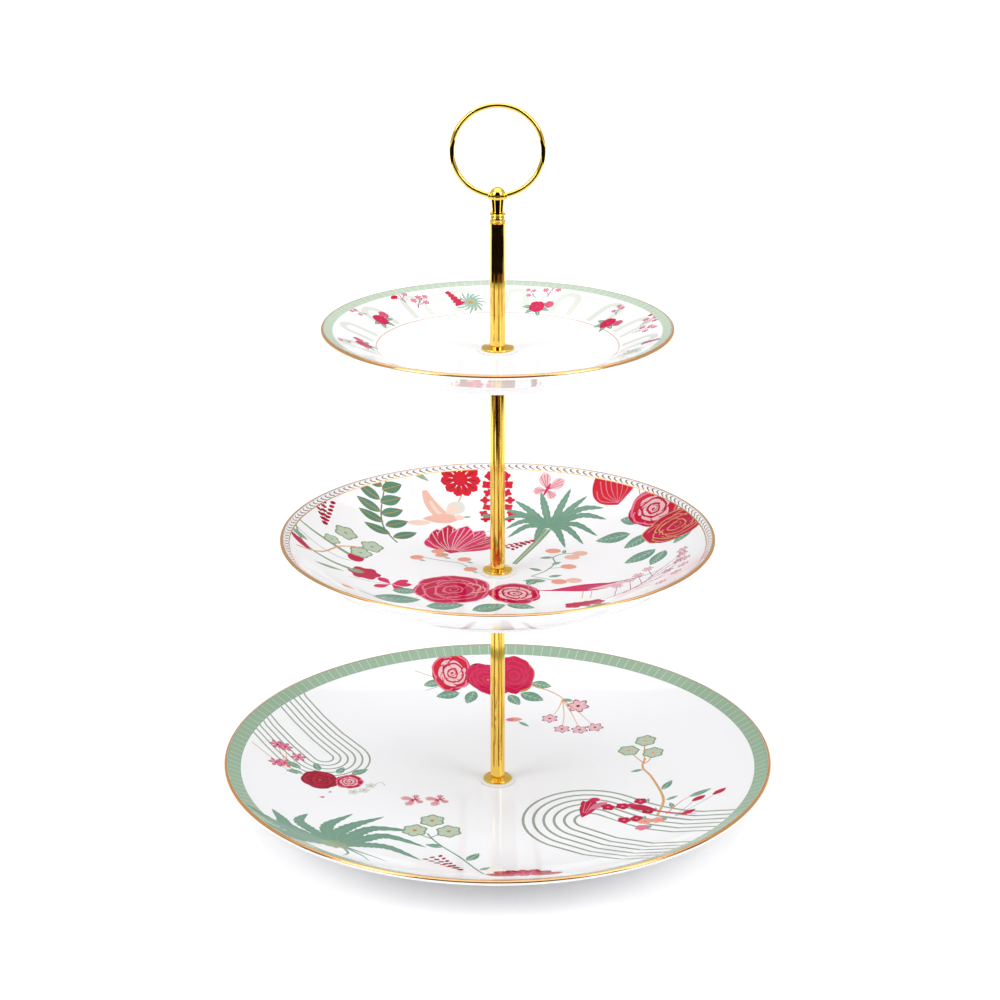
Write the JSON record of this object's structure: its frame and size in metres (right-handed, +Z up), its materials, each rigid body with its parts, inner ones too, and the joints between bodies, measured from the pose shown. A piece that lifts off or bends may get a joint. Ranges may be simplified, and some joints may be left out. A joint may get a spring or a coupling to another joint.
{
  "type": "tiered cake stand",
  "caption": "Tiered cake stand: round decorated porcelain plates on a gold-plated threaded centre post, with a ring handle that unscrews from the top.",
  "frame": {"origin": "on the post's axis, at the table that the lower plate's foot ring stands on", "axes": "+Z up along the post, +X to the viewer's right in the plane of the ring handle, the front faces -Y"},
  "size_m": [0.266, 0.266, 0.3426],
  "materials": {
    "glazed_porcelain": "glossy white glaze with printed botanical decoration and a gold line on the lip",
    "gold_plate": "mirror-polished yellow gold plating",
    "plain_brass": "turned, unplated",
    "zinc_steel": "zinc-plated thread",
    "white_rubber": "satin white, slightly translucent"
  },
  "bodies": {
    "lower_tier": {"lower_plate": "glazed_porcelain", "base_gasket": "white_rubber", "lower_flange_gasket": "white_rubber"},
    "lower_post": {"base_screw": "gold_plate", "base_washer": "gold_plate", "lower_flange": "gold_plate", "lower_rod": "gold_plate", "lower_rod_insert": "plain_brass", "lower_stud": "zinc_steel", "middle_support_washer": "gold_plate"},
    "middle_tier": {"middle_plate": "glazed_porcelain", "middle_support_gasket": "white_rubber", "middle_flange_gasket": "white_rubber"},
    "middle_post_foot": {"middle_flange": "gold_plate"},
    "middle_post": {"middle_rod": "gold_plate", "middle_rod_insert": "plain_brass", "middle_stud": "zinc_steel", "top_support_washer": "gold_plate"},
    "top_tier": {"top_plate": "glazed_porcelain", "top_support_gasket": "white_rubber", "top_flange_gasket": "white_rubber"},
    "top_post_foot": {"top_flange": "gold_plate"},
    "top_post": {"top_rod": "gold_plate", "top_rod_insert": "plain_brass", "handle_stud": "zinc_steel"},
    "handle_collar": {"neck_collar": "gold_plate"},
    "handle": {"finial": "gold_plate", "ring_handle": "gold_plate"}
  },
  "joints": [
    {"name": "post_swivel", "type": "hinge", "parent": "lower_tier", "child": "lower_post", "pos_m": [0, 0, 0.0096], "axis": [0, 0, 1], "continuous": true},
    {"name": "middle_tier_swivel", "type": "hinge", "parent": "lower_post", "child": "middle_tier", "pos_m": [0, 0, 0.1182], "axis": [0, 0, 1], "continuous": true},
    {"name": "middle_post_lift", "type": "slide", "parent": "lower_post", "child": "middle_post_foot", "axis": [0, 0, 1], "range_m": [0, 0.0077]},
    {"name": "middle_post_unscrew", "type": "hinge", "parent": "middle_post_foot", "child": "middle_post", "pos_m": [0, 0, 0.1209], "axis": [0, 0, 1], "range_deg": [0, 3960]},
    {"name": "top_tier_swivel", "type": "hinge", "parent": "middle_post", "child": "top_tier", "pos_m": [0, 0, 0.2278], "axis": [0, 0, 1], "continuous": true},
    {"name": "top_post_lift", "type": "slide", "parent": "middle_post", "child": "top_post_foot", "axis": [0, 0, 1], "range_m": [0, 0.0077]},
    {"name": "top_post_unscrew", "type": "hinge", "parent": "top_post_foot", "child": "top_post", "pos_m": [0, 0, 0.2305], "axis": [0, 0, 1], "range_deg": [0, 3960]},
    {"name": "handle_lift", "type": "slide", "parent": "top_post", "child": "handle_collar", "axis": [0, 0, 1], "range_m": [0, 0.0055]},
    {"name": "handle_unscrew", "type": "hinge", "parent": "handle_collar", "child": "handle", "pos_m": [0, 0, 0.2931], "axis": [0, 0, 1], "range_deg": [0, 3960]}
  ],
  "couplings": [
    {"joint": "middle_post_unscrew", "follows": "middle_post_lift", "rad_per_m": 8975.9},
    {"joint": "top_post_unscrew", "follows": "top_post_lift", "rad_per_m": 8975.9},
    {"joint": "handle_unscrew", "follows": "handle_lift", "rad_per_m": 12566}
  ]
}
